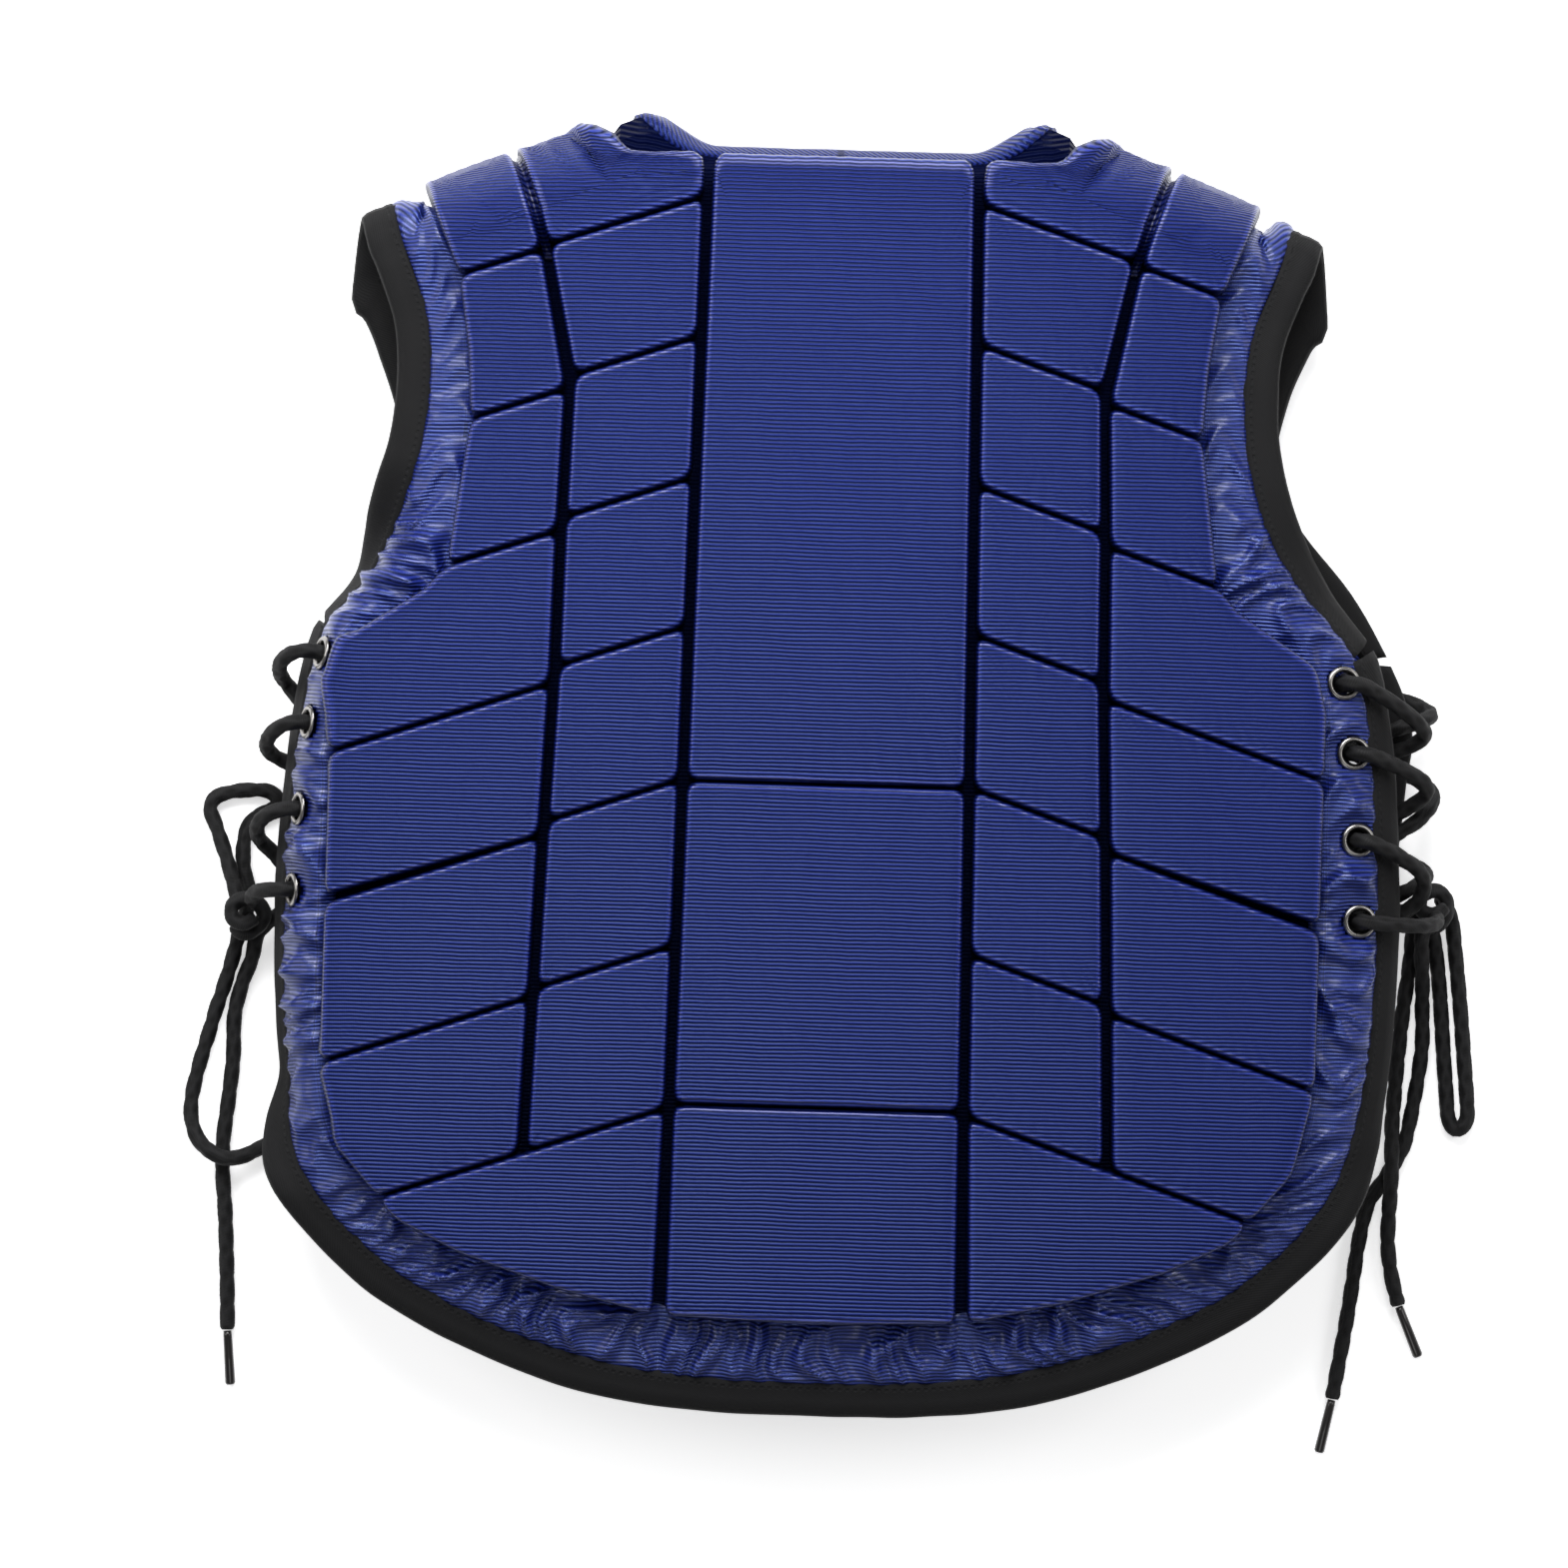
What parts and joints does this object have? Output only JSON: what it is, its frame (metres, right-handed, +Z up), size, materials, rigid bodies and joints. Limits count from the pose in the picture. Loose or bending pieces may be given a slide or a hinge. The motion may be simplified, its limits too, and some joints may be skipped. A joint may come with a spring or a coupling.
{
  "type": "equestrian body protector",
  "caption": "Padded riding vest with ribbed foam blocks, bound edges, a closed front zip and laced sides, lying on its front.",
  "frame": {"origin": "on the floor under the middle of the vest's bounding box, with the vest lying on its front and its laces left out", "axes": "+Z up through the back panel, +Y towards the neck, +X towards the right of the back panel as seen from above"},
  "size_m": [0.5039, 0.5129, 0.0647],
  "materials": {
    "ribbed_satin": "shiny royal blue satin with fine cross ribs",
    "black_binding": "matt black bias binding",
    "dark_nickel": "dark nickel",
    "lace_cord": "black round braid",
    "aglet_film": "dark film"
  },
  "bodies": {
    "root": {"aglet_left_1": "aglet_film", "aglet_left_2": "aglet_film", "aglet_right_1": "aglet_film", "aglet_right_2": "aglet_film", "armhole_binding_left": "black_binding", "armhole_binding_right": "black_binding", "back_edge_binding": "black_binding", "back_shell": "ribbed_satin", "centre_block_1": "ribbed_satin", "centre_block_2": "ribbed_satin", "centre_block_3": "ribbed_satin", "eyelet_left_1": "dark_nickel", "eyelet_left_2": "dark_nickel", "eyelet_left_3": "dark_nickel", "eyelet_left_4": "dark_nickel", "eyelet_right_1": "dark_nickel", "eyelet_right_2": "dark_nickel", "eyelet_right_3": "dark_nickel", "eyelet_right_4": "dark_nickel", "front_edge_binding": "black_binding", "front_pad_left": "ribbed_satin", "front_pad_right": "ribbed_satin", "front_shell": "ribbed_satin", "front_zip": "black_binding", "inner_block_left_1": "ribbed_satin", "inner_block_left_2": "ribbed_satin", "inner_block_left_3": "ribbed_satin", "inner_block_left_4": "ribbed_satin", "inner_block_left_5": "ribbed_satin", "inner_block_left_6": "ribbed_satin", "inner_block_left_7": "ribbed_satin", "inner_block_left_8": "ribbed_satin", "inner_block_right_1": "ribbed_satin", "inner_block_right_2": "ribbed_satin", "inner_block_right_3": "ribbed_satin", "inner_block_right_4": "ribbed_satin", "inner_block_right_5": "ribbed_satin", "inner_block_right_6": "ribbed_satin", "inner_block_right_7": "ribbed_satin", "inner_block_right_8": "ribbed_satin", "lace_left": "lace_cord", "lace_left_bow": "lace_cord", "lace_right": "lace_cord", "lace_right_bow": "lace_cord", "neck_binding": "ribbed_satin", "outer_block_left_1": "ribbed_satin", "outer_block_left_2": "ribbed_satin", "outer_block_left_3": "ribbed_satin", "outer_block_left_4": "ribbed_satin", "outer_block_left_5": "ribbed_satin", "outer_block_left_6": "ribbed_satin", "outer_block_left_7": "ribbed_satin", "outer_block_right_1": "ribbed_satin", "outer_block_right_2": "ribbed_satin", "outer_block_right_3": "ribbed_satin", "outer_block_right_4": "ribbed_satin", "outer_block_right_5": "ribbed_satin", "outer_block_right_6": "ribbed_satin", "outer_block_right_7": "ribbed_satin"}
  },
  "joints": []
}
